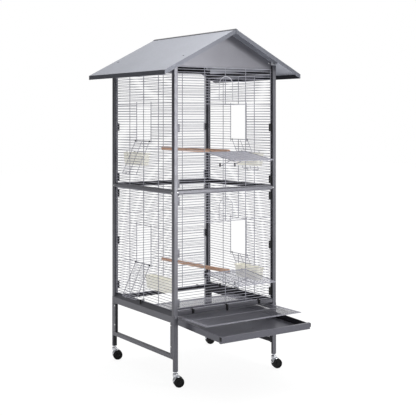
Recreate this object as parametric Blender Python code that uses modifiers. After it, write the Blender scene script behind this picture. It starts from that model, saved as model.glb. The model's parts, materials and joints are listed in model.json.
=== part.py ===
"""Bird cage on a wheeled stand: square tube frame, wire walls, gable roof, doors, tray and grille."""
import math

import bmesh
import bpy
from mathutils import Matrix, Vector

# Overall frame, metres. X runs across the front, -Y is the front, Z is up.
CENTRE_Y = 0.110          # cage centre behind the middle of the whole outline
HALF = 0.273              # outer faces of the corner posts
TUBE = 0.020              # square tube
WALL = 0.0012             # tube wall
GAP = 0.0004              # clearance between touching pieces
AXIS = HALF - TUBE / 2    # post axes, and the plane of every wire wall
INNER = HALF - TUBE       # inner faces of the posts

# Heights
LEG_BOTTOM = 0.065
FOOT_TOP = 0.1155
BASE_LOW = 0.2675
BASE_SHOULDER = 0.297
BASE_TOP = 0.317
FRONT_RAIL_LOW = 0.2985
BACK_RAIL_LOW = 0.2800
BACK_RAIL_TOP = 0.2985
STRETCHER_LOW = 0.1155
STRETCHER_HIGH = 0.134
MID_LOW = 0.811
MID_HIGH = 0.827
TOP_LOW = 1.332
TOP_HIGH = 1.350
GABLE_LOW = 1.353
POST_TOP = 1.371

# Roof
RIDGE_Z = 1.5165
EAVE_X = 0.360
EAVE_Z = 1.3305
ROOF_HALF_LENGTH = 0.340
ROOF_LIP = 0.0195
ROOF_SHEET = 0.0012

# Wire walls
WIRE = 0.0024
WALL_PITCH = 0.090        # spacing of the simplified cross wires
FRONT_UPRIGHT = 0.110     # upright wires on the front and back walls
SIDE_UPRIGHT = 0.126      # upright wires on the side walls
FEEDER_HALF = 0.063
UPPER_DOOR = (0.985, 1.194)
LOWER_DOOR = (0.4625, 0.6825)
UPPER_FEEDER = (1.031, 1.197)
LOWER_FEEDER = (0.4855, 0.6555)
HINGE_OUT = 0.2675        # hinge wires stand just outside the wall

# Doors and flaps
DOOR_HALF = 0.1055
UPPER_DOOR_LENGTH = 0.207
LOWER_DOOR_LENGTH = 0.218
UPPER_DOOR_DROP = math.radians(8.0)
LOWER_DOOR_DROP = math.radians(6.0)
STAY_RADIUS = 0.0015
STAY_ARM = 0.118
STAY_DROP = 0.058         # stay pivots below the door hinges
STAY_OUT = 0.2685
STAY_X = (-0.0270, 0.0400)
FLAP_LENGTH = 0.160
FLAP_LEAN = math.radians(25.0)

# Tray and grille
TRAY_FRONT = -0.560
TRAY_TOP = 0.2622
TRAY_HALF = 0.2250
TRAY_LIP_HALF = 0.2322
TRAY_LENGTH = 0.500
TRAY_HEIGHT = 0.0270
TRAY_SHEET = 0.0015
TRAY_TILT = math.radians(2.2)
GRILLE_FRONT = -0.4805
GRILLE_HALF = 0.2475
GRILLE_LENGTH = 0.505
GRILLE_Z = 0.2905
GRILLE_BARS = 10

# Casters
WHEEL_RADIUS = 0.022
WHEEL_WIDTH = 0.0125
WEB = 0.0060
TRAIL = 0.014
STEM_RADIUS = 0.0035
AXLE_RADIUS = 0.0030
RUNNING = 0.00006
CASTER_HEADING = math.radians(-20.0)

# Bowls and perches
BOWL_LONG = 0.184
BOWL_WIDE = 0.056
BOWL_DEEP = 0.055
BOWL_SHEET = 0.0022
PERCH_RADIUS = 0.0085
PERCH_X = 0.008
PERCH_YAW = 0.0494

for old in list(bpy.data.objects):
    bpy.data.objects.remove(old, do_unlink=True)

scene = bpy.context.scene
parts = bpy.data.collections.new("bird_cage")
scene.collection.children.link(parts)
cutters = bpy.data.collections.new("cutters")
scene.collection.children.link(cutters)

frame = bpy.data.objects.new("cage_centre", None)
parts.objects.link(frame)
frame.location = (0.0, CENTRE_Y, 0.0)


def material(name, colour, metallic, roughness):
    made = bpy.data.materials.new(name)
    made.use_nodes = True
    shader = made.node_tree.nodes["Principled BSDF"]
    shader.inputs["Base Color"].default_value = (*colour, 1.0)
    shader.inputs["Metallic"].default_value = metallic
    shader.inputs["Roughness"].default_value = roughness
    made.diffuse_color = (*colour, 1.0)
    return made


FINISHES = {
    "grey_paint": ((0.24, 0.24, 0.27), 0.5, 0.42),
    "roof_paint": ((0.42, 0.43, 0.47), 0.4, 0.40),
    "wire": ((0.30, 0.30, 0.33), 0.6, 0.38),
    "dark_paint": ((0.12, 0.12, 0.14), 0.4, 0.45),
    "chrome": ((0.72, 0.72, 0.74), 1.0, 0.15),
    "black_plastic": ((0.02, 0.02, 0.022), 0.0, 0.45),
    "beige_plastic": ((0.74, 0.70, 0.60), 0.0, 0.40),
    "wood": ((0.52, 0.23, 0.12), 0.0, 0.60),
}


def place(name, mesh, location, finish, rotation=(0.0, 0.0, 0.0), parent=None):
    """Link a mesh as a node with a material of its own."""
    obj = bpy.data.objects.new(name, mesh)
    parts.objects.link(obj)
    obj.parent = parent or frame
    obj.location = location
    obj.rotation_euler = rotation
    colour, metallic, roughness = FINISHES[finish]
    mesh.materials.append(material(name, colour, metallic, roughness))
    return obj


def to_mesh(name, bm):
    mesh = bpy.data.meshes.new(name)
    bm.to_mesh(mesh)
    bm.free()
    return mesh


# Turns a flat XY outline so that its depth runs along the named axis
FACING = {
    "X": Matrix(((0, 0, 1, 0), (1, 0, 0, 0), (0, 1, 0, 0), (0, 0, 0, 1))),
    "Y": Matrix(((1, 0, 0, 0), (0, 0, -1, 0), (0, 1, 0, 0), (0, 0, 0, 1))),
    "Z": Matrix.Identity(4),
}
ALONG = {"X": Vector((1, 0, 0)), "Y": Vector((0, 1, 0)), "Z": Vector((0, 0, 1))}


def outline_mesh(name, loops, axis, low, high):
    """Flat outline, with any further loops as holes, extruded along one axis."""
    curve = bpy.data.curves.new(name, "CURVE")
    curve.dimensions = "2D"
    curve.fill_mode = "BOTH"
    curve.extrude = (high - low) / 2
    for loop in loops:
        spline = curve.splines.new("POLY")
        spline.points.add(len(loop) - 1)
        for point, (u, v) in zip(spline.points, loop):
            point.co = (u, v, 0.0, 1.0)
        spline.use_cyclic_u = True
    flat = bpy.data.objects.new(name, curve)
    parts.objects.link(flat)
    bpy.context.view_layer.update()
    mesh = bpy.data.meshes.new_from_object(flat.evaluated_get(bpy.context.evaluated_depsgraph_get()))
    bpy.data.objects.remove(flat)
    bpy.data.curves.remove(curve)
    mesh.name = name
    mesh.materials.clear()
    mesh.transform(Matrix.Translation(ALONG[axis] * (low + high) / 2) @ FACING[axis])
    bm = bmesh.new()
    bm.from_mesh(mesh)
    bmesh.ops.remove_doubles(bm, verts=bm.verts[:], dist=0.000005)
    bmesh.ops.recalc_face_normals(bm, faces=bm.faces[:])
    bm.to_mesh(mesh)
    bm.free()
    return mesh


def rectangle(u0, v0, u1, v1):
    return [(u0, v0), (u1, v0), (u1, v1), (u0, v1)]


def rounded_rectangle(half_u, half_v, radius, steps=2):
    """Rectangle about the origin with rounded corners."""
    points = []
    for quarter, (su, sv) in enumerate(((1, 1), (-1, 1), (-1, -1), (1, -1))):
        for i in range(steps + 1):
            angle = math.pi / 2 * (quarter + i / steps)
            points.append((su * (half_u - radius) + radius * math.cos(angle),
                           sv * (half_v - radius) + radius * math.sin(angle)))
    return points


def box_mesh(name, low, high):
    size = Vector(high) - Vector(low)
    middle = (Vector(high) + Vector(low)) / 2
    bm = bmesh.new()
    bmesh.ops.create_cube(bm, size=1.0, matrix=Matrix.Translation(middle) @ Matrix.Diagonal((*size, 1.0)))
    return to_mesh(name, bm)


def round_mesh(name, radius, axis, low, high, sides, centre=(0.0, 0.0), turn=0.0):
    """Cylinder between two heights along an axis, with its sides shaded smooth."""
    u, v = centre
    where = Matrix.Translation((u, v, 0.0)) @ Matrix.Rotation(turn, 4, "Z")
    bm = bmesh.new()
    bmesh.ops.create_cone(bm, cap_ends=True, segments=sides, radius1=radius, radius2=radius,
                          depth=high - low, matrix=where)
    mesh = to_mesh(name, bm)
    mesh.transform(Matrix.Translation(ALONG[axis] * (low + high) / 2) @ FACING[axis])
    mesh.shade_smooth()
    mesh.set_sharp_from_angle(angle=math.radians(40))
    return mesh


def wire_mesh(name, points, radius):
    """Round wire bent along a line of points."""
    curve = bpy.data.curves.new(name, "CURVE")
    curve.dimensions = "3D"
    curve.bevel_depth = radius
    curve.bevel_resolution = 2
    curve.use_fill_caps = True
    spline = curve.splines.new("POLY")
    spline.points.add(len(points) - 1)
    for point, spot in zip(spline.points, points):
        point.co = (*spot, 1.0)
    drawn = bpy.data.objects.new(name, curve)
    cutters.objects.link(drawn)
    mesh = bpy.data.meshes.new_from_object(drawn.evaluated_get(bpy.context.evaluated_depsgraph_get()))
    bpy.data.objects.remove(drawn)
    bm = bmesh.new()
    bm.from_mesh(mesh)
    bpy.data.meshes.remove(mesh)
    bmesh.ops.remove_doubles(bm, verts=bm.verts[:], dist=1e-6)
    bmesh.ops.recalc_face_normals(bm, faces=bm.faces[:])
    return to_mesh(name, bm)


def tube_mesh(name, width, height, length, axis):
    """Open-ended rectangular tube with rounded corners, centred on the origin."""
    outer = rounded_rectangle(width / 2, height / 2, 0.0025)
    inner = rounded_rectangle(width / 2 - WALL, height / 2 - WALL, 0.0013, steps=1)
    return outline_mesh(name, [outer, inner], axis, -length / 2, length / 2)


def tool(name, mesh, target, operation):
    """Hidden helper solid that is cut from, or joined to, a node."""
    obj = bpy.data.objects.new(name, mesh)
    cutters.objects.link(obj)
    obj.parent = target
    obj.hide_render = True
    obj.display_type = "WIRE"
    step = target.modifiers.new(name, "BOOLEAN")
    step.operation = operation
    step.solver = "EXACT"
    step.object = obj
    return obj


def spread(low, high, pitch):
    """Evenly spaced values strictly between two limits."""
    count = max(1, round((high - low) / pitch))
    return [low + (high - low) * i / count for i in range(1, count)]


def gaps(low, high, bars, border):
    """Clear spans left between bars across a border-to-border width."""
    edges = [low + border]
    for bar in sorted(bars):
        edges += [bar - WIRE / 2, bar + WIRE / 2]
    edges.append(high - border)
    return list(zip(edges[::2], edges[1::2]))


def panel_loops(size_u, size_v, bars_u, bars_v, border=WIRE):
    """Outer edge and the openings of a flat panel of crossing bars."""
    loops = [rectangle(size_u[0], size_v[0], size_u[1], size_v[1])]
    for u0, u1 in gaps(*size_u, bars_u, border):
        for v0, v1 in gaps(*size_v, bars_v, border):
            loops.append(rectangle(u0, v0, u1, v1))
    return loops


def wall_loops(size_u, size_v, uprights, sides, sill, head):
    """Wire wall with one clear opening, framed by a wire on each side, a sill and a head."""
    u0, u1 = size_u
    v0, v1 = size_v
    left, right = sides
    loops = panel_loops(size_u, (v0, sill), uprights, spread(v0, sill, WALL_PITCH))
    loops += panel_loops(size_u, (head, v1), uprights, spread(head, v1, WALL_PITCH))[1:]
    loops[0] = rectangle(u0, v0, u1, v1)
    outer_left = [u for u in uprights if u < left - WIRE]
    outer_right = [u for u in uprights if u > right + WIRE]
    rows = gaps(sill, head, spread(sill, head, WALL_PITCH), 0.0)
    for a, b in gaps(u0, left, outer_left, WIRE) + gaps(right, u1, outer_right, WIRE):
        for c, d in rows:
            loops.append(rectangle(a, c, b, d))
    loops.append(rectangle(left, sill, right, head))
    return loops


# Corner posts, open square tube standing on the base frame
for side_x, word_x in ((-1, "left"), (1, "right")):
    for side_y, word_y in ((-1, "front"), (1, "back")):
        name = f"post_{word_y}_{word_x}"
        low = BASE_SHOULDER + GAP
        mesh = tube_mesh(name, TUBE, TUBE, POST_TOP - low, "Z")
        place(name, mesh, (side_x * AXIS, side_y * AXIS, (POST_TOP + low) / 2), "grey_paint")

# Legs: full tube above the stretcher, a slim foot below it with a socket for the caster stem
SOCKET_TOP = 0.108
for side_x, word_x in ((-1, "left"), (1, "right")):
    for side_y, word_y in ((-1, "front"), (1, "back")):
        name = f"leg_{word_y}_{word_x}"
        top = BASE_LOW - GAP
        outer = side_y * HALF
        middle = side_y * AXIS
        inner = side_y * INNER
        outline = [(outer, LEG_BOTTOM), (middle, LEG_BOTTOM), (middle, FOOT_TOP),
                   (inner, FOOT_TOP), (inner, top), (outer, top)]
        mesh = outline_mesh(name, [outline], "X", side_x * AXIS - TUBE / 2, side_x * AXIS + TUBE / 2)
        leg = place(name, mesh, (0.0, 0.0, 0.0), "grey_paint")
        foot_y = side_y * (HALF + AXIS) / 2
        bore = round_mesh(name + "_bore", STEM_RADIUS + RUNNING, "Z", LEG_BOTTOM - 0.01, SOCKET_TOP, 32,
                          (side_x * AXIS, foot_y))
        tool(name + "_bore", bore, leg, "DIFFERENCE")

# Side frames bolted inside the legs: two uprights and a stretcher in one piece
for side_x, word_x in ((-1, "left"), (1, "right")):
    name = f"stand_frame_{word_x}"
    reach = INNER - GAP
    strip = 0.010
    depth = 0.014
    top = BASE_LOW - GAP
    outline = [(-reach, STRETCHER_LOW), (reach, STRETCHER_LOW), (reach, top), (reach - strip, top),
               (reach - strip, STRETCHER_HIGH), (-reach + strip, STRETCHER_HIGH),
               (-reach + strip, top), (-reach, top)]
    near = side_x * HALF
    far = side_x * (HALF - depth)
    mesh = outline_mesh(name, [outline], "X", min(near, far), max(near, far))
    place(name, mesh, (0.0, 0.0, 0.0), "grey_paint")

# Base rails: the side rails run the full depth and carry the posts
for side_x, word_x in ((-1, "left"), (1, "right")):
    name = f"base_rail_{word_x}"
    low_x, high_x = sorted((side_x * HALF, side_x * INNER))
    mesh = box_mesh(name, (low_x, -HALF, BASE_LOW), (high_x, HALF, BASE_SHOULDER))
    rail = place(name, mesh, (0.0, 0.0, 0.0), "grey_paint")
    ledge = [(side_x * HALF, BASE_SHOULDER - 0.004), (side_x * HALF, BASE_SHOULDER),
             (side_x * (INNER + 0.004), BASE_TOP), (side_x * INNER, BASE_TOP),
             (side_x * INNER, BASE_SHOULDER - 0.004)]
    reach = INNER - GAP
    tool(name + "_ledge", outline_mesh(name + "_ledge", [ledge], "Y", -reach, reach), rail, "UNION")
    core = box_mesh(name + "_core", (low_x + WALL, -HALF - 0.01, BASE_LOW + WALL),
                    (high_x - WALL, HALF + 0.01, BASE_SHOULDER - WALL))
    tool(name + "_core", core, rail, "DIFFERENCE")

rail_length = 2 * (INNER - GAP)
front_height = BASE_TOP - FRONT_RAIL_LOW
mesh = tube_mesh("base_rail_front", 0.014, front_height, rail_length, "X")
place("base_rail_front", mesh, (0.0, -HALF + 0.007, (BASE_TOP + FRONT_RAIL_LOW) / 2), "grey_paint")
mesh = tube_mesh("base_rail_back", 0.014, BACK_RAIL_TOP - BACK_RAIL_LOW, rail_length, "X")
place("base_rail_back", mesh, (0.0, HALF - 0.007, (BACK_RAIL_TOP + BACK_RAIL_LOW) / 2), "grey_paint")

# Middle rails between the posts, and top rails under the eaves
mid_z = (MID_LOW + MID_HIGH) / 2
mid_height = MID_HIGH - MID_LOW
for sign, word in ((-1, "front"), (1, "back")):
    mesh = tube_mesh(f"mid_rail_{word}", TUBE, mid_height, rail_length, "X")
    place(f"mid_rail_{word}", mesh, (0.0, sign * AXIS, mid_z), "grey_paint")
for sign, word in ((-1, "left"), (1, "right")):
    mesh = tube_mesh(f"mid_rail_{word}", TUBE, mid_height, rail_length, "Y")
    place(f"mid_rail_{word}", mesh, (sign * AXIS, 0.0, mid_z), "grey_paint")
    mesh = tube_mesh(f"top_rail_{word}", TUBE, TOP_HIGH - TOP_LOW, rail_length, "Y")
    place(f"top_rail_{word}", mesh, (sign * AXIS, 0.0, (TOP_HIGH + TOP_LOW) / 2), "grey_paint")

# Roof slopes: a folded sheet with a lip along the eave and both gable edges
SLOPE = (RIDGE_Z - EAVE_Z) / EAVE_X
for side, word in ((-1, "left"), (1, "right")):
    name = f"roof_{word}"
    seam = side * GAP
    outline = [(seam, RIDGE_Z - SLOPE * GAP), (side * EAVE_X, EAVE_Z), (side * EAVE_X, EAVE_Z - ROOF_LIP),
               (seam, RIDGE_Z - SLOPE * GAP - ROOF_LIP)]
    mesh = outline_mesh(name, [outline], "Y", -ROOF_HALF_LENGTH, ROOF_HALF_LENGTH)
    roof = place(name, mesh, (0.0, 0.0, 0.0), "roof_paint")
    drop = ROOF_SHEET * math.sqrt(1 + SLOPE * SLOPE)
    inner_x = side * (EAVE_X - ROOF_SHEET)
    beyond = -side * 0.02
    hollow = [(beyond, RIDGE_Z - drop + SLOPE * 0.02), (inner_x, RIDGE_Z - drop - SLOPE * abs(inner_x)),
              (inner_x, EAVE_Z - 0.08), (beyond, EAVE_Z - 0.08)]
    inside = ROOF_HALF_LENGTH - ROOF_SHEET
    tool(name + "_hollow", outline_mesh(name + "_hollow", [hollow], "Y", -inside, inside), roof, "DIFFERENCE")

# Ridge cap
cap_half = 0.011
cap_gap = GAP
cap_sheet = 0.0012
cap_outline = [(-cap_half, RIDGE_Z - SLOPE * cap_half + cap_gap), (0.0, RIDGE_Z + cap_gap),
               (cap_half, RIDGE_Z - SLOPE * cap_half + cap_gap),
               (cap_half, RIDGE_Z - SLOPE * cap_half + cap_gap + cap_sheet),
               (0.0, RIDGE_Z + cap_gap + cap_sheet),
               (-cap_half, RIDGE_Z - SLOPE * cap_half + cap_gap + cap_sheet)]
mesh = outline_mesh("ridge_cap", [cap_outline], "Y", -ROOF_HALF_LENGTH, ROOF_HALF_LENGTH)
place("ridge_cap", mesh, (0.0, 0.0, 0.0), "dark_paint")

# Gable panels with a folded lower edge
under = RIDGE_Z - ROOF_SHEET * math.sqrt(1 + SLOPE * SLOPE) - 2 * GAP
gable_half = INNER - GAP
for side, word in ((-1, "front"), (1, "back")):
    name = f"gable_{word}"
    outline = [(-gable_half, GABLE_LOW), (gable_half, GABLE_LOW), (gable_half, under - SLOPE * gable_half),
               (0.0, under), (-gable_half, under - SLOPE * gable_half)]
    face, back = side * (AXIS - 0.001), side * (AXIS - 0.0025)
    mesh = outline_mesh(name, [outline], "Y", min(face, back), max(face, back))
    gable = place(name, mesh, (0.0, 0.0, 0.0), "grey_paint")
    edge = side * (AXIS - 0.012)
    flange = box_mesh(name + "_fold", (-gable_half, min(face, edge), GABLE_LOW),
                      (gable_half, max(face, edge), GABLE_LOW + 0.0015))
    tool(name + "_fold", flange, gable, "UNION")

# Wire walls, upper and lower on each side
LEVELS = {
    "lower": (BASE_TOP + GAP, MID_LOW - GAP),
    "upper": (MID_HIGH + GAP, TOP_LOW - GAP),
}
wall_half = INNER - GAP
across = (-wall_half, wall_half)
for storey, door, feeder in (("lower", LOWER_DOOR, LOWER_FEEDER), ("upper", UPPER_DOOR, UPPER_FEEDER)):
    low, high = LEVELS[storey]
    tall = GABLE_LOW - GAP if storey == "upper" else high
    half = WIRE / 2
    uprights = [-FRONT_UPRIGHT, 0.0, FRONT_UPRIGHT]
    sides = (-FRONT_UPRIGHT + half, FRONT_UPRIGHT - half)
    name = f"wall_front_{storey}"
    loops = wall_loops(across, (low, tall), uprights, sides, *door)
    place(name, outline_mesh(name, loops, "Y", -half, half), (0.0, -AXIS, 0.0), "wire")
    name = f"wall_back_{storey}"
    sill = BACK_RAIL_TOP + GAP if storey == "lower" else low
    loops = panel_loops(across, (sill, tall), uprights, spread(sill, tall, WALL_PITCH))
    place(name, outline_mesh(name, loops, "Y", -half, half), (0.0, AXIS, 0.0), "wire")
    uprights = [-SIDE_UPRIGHT, 0.0, SIDE_UPRIGHT]
    sides = (-FEEDER_HALF + half, FEEDER_HALF - half)
    loops = wall_loops(across, (low, high), uprights, sides, *feeder)
    for side, word in ((-1, "left"), (1, "right")):
        name = f"wall_{word}_{storey}"
        place(name, outline_mesh(name, loops, "X", -half, half), (side * AXIS, 0.0, 0.0), "wire")

# Front doors, hinged on their lower edge and let down
for storey, sill, length, drop in (("upper", UPPER_DOOR[0], UPPER_DOOR_LENGTH, UPPER_DOOR_DROP),
                                   ("lower", LOWER_DOOR[0], LOWER_DOOR_LENGTH, LOWER_DOOR_DROP)):
    name = f"door_{storey}"
    loops = panel_loops((-DOOR_HALF, DOOR_HALF), (-length + WIRE / 2, WIRE / 2), [0.0],
                        spread(-length, 0.0, 0.052))
    mesh = outline_mesh(name, loops, "Z", -WIRE / 2, WIRE / 2)
    door = place(name, mesh, (0.0, -HINGE_OUT, sill - WIRE / 2), "wire", rotation=(drop, 0.0, 0.0))
    # Stay: a bent wire pivoted on the wall below the door, its cross bar holding the door up
    reach = WIRE / 2 + STAY_RADIUS + GAP
    rise = STAY_DROP * math.cos(drop) - reach - (STAY_OUT - HINGE_OUT) * math.sin(drop)
    lift = math.asin(rise / STAY_ARM) - drop
    name = f"door_stay_{storey}"
    ends, arms = (STAY_X[0] - 0.006, STAY_X[1] + 0.006), STAY_X
    points = [(ends[0], 0.0, 0.0), (arms[0], 0.0, 0.0), (arms[0], -STAY_ARM, 0.0),
              (arms[1], -STAY_ARM, 0.0), (arms[1], 0.0, 0.0), (ends[1], 0.0, 0.0)]
    place(name, wire_mesh(name, points, STAY_RADIUS), (0.0, -STAY_OUT, sill - WIRE / 2 - STAY_DROP), "wire",
          rotation=(-lift, 0.0, 0.0))

# Feeder flaps, hinged on the lower edge of each feeder opening and hanging outside
for storey, feeder in (("lower", LOWER_FEEDER), ("upper", UPPER_FEEDER)):
    for side, word in ((-1, "left"), (1, "right")):
        name = f"flap_{word}_{storey}"
        loops = panel_loops((-FEEDER_HALF, FEEDER_HALF), (-FLAP_LENGTH, WIRE / 2), [], [-0.105, -0.050])
        mesh = outline_mesh(name, loops, "X", -WIRE / 2, WIRE / 2)
        place(name, mesh, (side * HINGE_OUT, 0.0, feeder[0] - WIRE / 2), "wire",
              rotation=(0.0, -side * FLAP_LEAN, 0.0))


# Bowls hung inside the side walls: an open box with a turned-out rim, thickened inwards
def bowl_mesh(name):
    rim = 0.0025
    taper = 0.0030
    half = Vector((BOWL_WIDE / 2 - rim, BOWL_LONG / 2 - rim))
    bm = bmesh.new()
    size = Matrix.Diagonal((2 * half.x, 2 * half.y, BOWL_DEEP, 1.0))
    bmesh.ops.create_cube(bm, size=1.0, matrix=Matrix.Translation((0.0, 0.0, -BOWL_DEEP / 2)) @ size)
    for vert in bm.verts:
        if vert.co.z < -BOWL_DEEP / 2:
            vert.co.x *= 1 - taper / half.x
            vert.co.y *= 1 - taper / half.y
    lid = [face for face in bm.faces if face.normal.z > 0.9]
    bmesh.ops.delete(bm, geom=lid, context="FACES_ONLY")
    corners = [edge for edge in bm.edges if not edge.is_boundary]
    bmesh.ops.bevel(bm, geom=corners, offset=0.008, segments=2, affect="EDGES", profile=0.5)
    border = [edge for edge in bm.edges if edge.is_boundary]
    grown = bmesh.ops.extrude_edge_only(bm, edges=border)["geom"]
    for vert in [item for item in grown if isinstance(item, bmesh.types.BMVert)]:
        vert.co.x += math.copysign(rim, vert.co.x)
        vert.co.y += math.copysign(rim, vert.co.y)
    bmesh.ops.recalc_face_normals(bm, faces=bm.faces[:])
    return to_mesh(name, bm)


BOWL_X = AXIS - WIRE / 2 - 0.0015 - BOWL_WIDE / 2
BOWL_PLACES = (
    ("bowl_left_upper", -1, 0.115, 0.974),
    ("bowl_right_upper", 1, -0.123, 0.970),
    ("bowl_left_lower", -1, -0.087, 0.434),
    ("bowl_right_lower", 1, -0.123, 0.447),
)
for name, side, along, rim_z in BOWL_PLACES:
    bowl = place(name, bowl_mesh(name), (side * BOWL_X, along, rim_z), "beige_plastic")
    shell = bowl.modifiers.new("shell", "SOLIDIFY")
    shell.thickness = BOWL_SHEET
    shell.offset = 1.0

# Perches run from the back wall to the front wall, turned a little to the right at the front,
# the lower one a little down at the back
perch_half = AXIS - WIRE / 2 - 0.0006
for word, z, tilt in (("upper", 0.9855, 0.0), ("lower", 0.4545, -0.0182)):
    name = f"perch_{word}"
    mesh = round_mesh(name, PERCH_RADIUS, "Y", -perch_half, perch_half, 24)
    place(name, mesh, (PERCH_X, 0.0, z), "wood", rotation=(tilt, 0.0, PERCH_YAW))

# Tray: a shallow basin with a stepped front lip, drawn out and drooping a little
tray_outer = box_mesh("tray", (-TRAY_HALF, 0.010, -TRAY_HEIGHT), (TRAY_HALF, TRAY_LENGTH, -0.0010))
tray = place("tray", tray_outer, (0.0, TRAY_FRONT, TRAY_TOP), "dark_paint", rotation=(TRAY_TILT, 0.0, 0.0))
lip = [(0.0, -0.0165), (0.0, 0.0), (0.013, 0.0), (0.013, -TRAY_HEIGHT), (0.003, -TRAY_HEIGHT),
       (0.003, -0.0165)]
tool("tray_lip", outline_mesh("tray_lip", [lip], "X", -TRAY_LIP_HALF, TRAY_LIP_HALF), tray, "UNION")
basin = box_mesh("tray_basin", (-TRAY_HALF + TRAY_SHEET, 0.013 + TRAY_SHEET, -TRAY_HEIGHT + TRAY_SHEET),
                 (TRAY_HALF - TRAY_SHEET, TRAY_LENGTH - TRAY_SHEET, 0.02))
tool("tray_basin", basin, tray, "DIFFERENCE")

# Grille: flat strip frame with bars running front to back
strip = 0.012
bars = [-GRILLE_HALF + strip + (2 * GRILLE_HALF - 2 * strip) * i / GRILLE_BARS for i in range(1, GRILLE_BARS)]
loops = panel_loops((-GRILLE_HALF, GRILLE_HALF), (0.0, GRILLE_LENGTH), bars, [], border=strip)
mesh = outline_mesh("grille", loops, "Z", -0.0015, 0.0015)
place("grille", mesh, (0.0, GRILLE_FRONT, GRILLE_Z), "grey_paint")


# Casters: a stem and hooded housing that swivels, and a pair of wheels on one axle
def arc(radius, start, end, count):
    return [(radius * math.cos(math.radians(start + (end - start) * i / count)),
             radius * math.sin(math.radians(start + (end - start) * i / count))) for i in range(count + 1)]


wheel_z = WHEEL_RADIUS * math.cos(math.pi / 24)
for side_x, word_x in ((-1, "left"), (1, "right")):
    for side_y, word_y in ((-1, "front"), (1, "back")):
        spot = (side_x * AXIS, side_y * (HALF + AXIS) / 2, 0.0)
        name = f"caster_{word_y}_{word_x}"
        stem = round_mesh(name, STEM_RADIUS, "Z", wheel_z + 0.020, SOCKET_TOP - 0.004, 32)
        caster = place(name, stem, spot, "chrome", rotation=(0.0, 0.0, CASTER_HEADING))
        collar = round_mesh(name + "_collar", 0.0080, "Z", 0.0500, LEG_BOTTOM - 0.0006, 24)
        tool(name + "_collar", collar, caster, "UNION")
        web_outline = arc(WHEEL_RADIUS + 0.0025, 75, 200, 12) + arc(0.0075, 230, 410, 8)
        web = [(TRAIL + u, wheel_z + v) for u, v in web_outline]
        tool(name + "_web", outline_mesh(name + "_web", [web], "Y", -WEB / 2, WEB / 2), caster, "UNION")
        hood_outline = arc(WHEEL_RADIUS + 0.0025, 75, 175, 12) + arc(WHEEL_RADIUS + 0.0010, 175, 75, 12)
        hood = [(TRAIL + u, wheel_z + v) for u, v in hood_outline]
        wide = WEB / 2 + 0.0005 + WHEEL_WIDTH
        tool(name + "_hood", outline_mesh(name + "_hood", [hood], "Y", -wide, wide), caster, "UNION")
        bore = round_mesh(name + "_bore", AXLE_RADIUS + RUNNING, "Y", -0.02, 0.02, 24, (TRAIL, wheel_z))
        tool(name + "_bore", bore, caster, "DIFFERENCE")
        name = f"wheels_{word_y}_{word_x}"
        inner = WEB / 2 + 0.0005
        outer = inner + WHEEL_WIDTH
        axle = round_mesh(name, AXLE_RADIUS, "Y", -outer + 0.001, outer - 0.001, 24)
        forward = Vector((TRAIL, 0.0, wheel_z))
        forward.rotate(Matrix.Rotation(CASTER_HEADING, 3, "Z"))
        hub = Vector(spot) + forward
        wheels = place(name, axle, hub, "black_plastic", rotation=(0.0, 0.0, CASTER_HEADING))
        for sign in (-1, 1):
            low, high = sorted((sign * inner, sign * outer))
            disc = round_mesh(f"{name}_disc{sign}", WHEEL_RADIUS, "Y", low, high, 24, turn=math.pi / 24)
            tool(f"{name}_disc{sign}", disc, wheels, "UNION")
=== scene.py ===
"""Bird cage on a wheeled stand: fine wires, fittings, finishes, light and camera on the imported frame."""
import json
import math

import bmesh
import bpy
from mathutils import Matrix, Vector

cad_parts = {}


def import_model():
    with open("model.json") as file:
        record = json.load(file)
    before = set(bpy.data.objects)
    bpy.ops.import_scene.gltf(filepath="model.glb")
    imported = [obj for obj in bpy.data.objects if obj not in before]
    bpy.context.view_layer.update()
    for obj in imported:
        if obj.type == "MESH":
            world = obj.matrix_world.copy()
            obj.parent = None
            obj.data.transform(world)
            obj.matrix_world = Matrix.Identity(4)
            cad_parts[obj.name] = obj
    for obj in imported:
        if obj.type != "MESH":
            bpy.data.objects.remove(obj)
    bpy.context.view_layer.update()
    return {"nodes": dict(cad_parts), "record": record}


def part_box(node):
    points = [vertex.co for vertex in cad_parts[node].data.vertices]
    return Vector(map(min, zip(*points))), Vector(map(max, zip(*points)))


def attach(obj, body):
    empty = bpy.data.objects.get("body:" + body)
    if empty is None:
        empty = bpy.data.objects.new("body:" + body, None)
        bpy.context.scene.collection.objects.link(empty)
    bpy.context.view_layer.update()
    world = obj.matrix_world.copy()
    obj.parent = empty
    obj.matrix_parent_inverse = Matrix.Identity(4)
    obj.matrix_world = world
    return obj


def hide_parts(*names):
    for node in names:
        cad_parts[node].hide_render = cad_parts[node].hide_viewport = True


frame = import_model()
scene = bpy.context.scene
JOINTS = {joint["name"]: joint for joint in frame["record"]["behaviour"]["joints"]}

# Sizes taken from the frame, metres. Heights are in the frame; CY is the middle of the posts in Y.
near_post, far_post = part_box("post_front_left"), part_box("post_back_right")
CY = (near_post[0].y + far_post[1].y) / 2
HALF = (far_post[1].x - near_post[0].x) / 2
TUBE = near_post[1].x - near_post[0].x
AXIS = HALF - TUBE / 2
INNER = HALF - TUBE
BASE_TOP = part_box("base_rail_front")[1].z
MID_LOW, MID_HIGH = (corner.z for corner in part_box("mid_rail_front"))
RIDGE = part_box("roof_left")[1].z
EAVE_X = -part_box("roof_left")[0].x
EAVE_TOP = 1.3305
SLOPE = (RIDGE - EAVE_TOP) / EAVE_X

# Wires: two radii, the spacing of the rows, the share of their two radii by which crossing wires stand
# apart where they are welded, and the places of the uprights and of the openings (sill, head)
THIN = 0.00118
STOUT = 0.00160
ROW = 0.012
WELD = 0.85
FRONT_UPRIGHT = 0.110
SIDE_UPRIGHT = 0.126
FEEDER_HALF = 0.063
DOORS = {"lower": (0.4625, 0.6825), "upper": (0.985, 1.194)}
FEEDERS = {"lower": (0.4855, 0.6555), "upper": (1.031, 1.197)}


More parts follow.
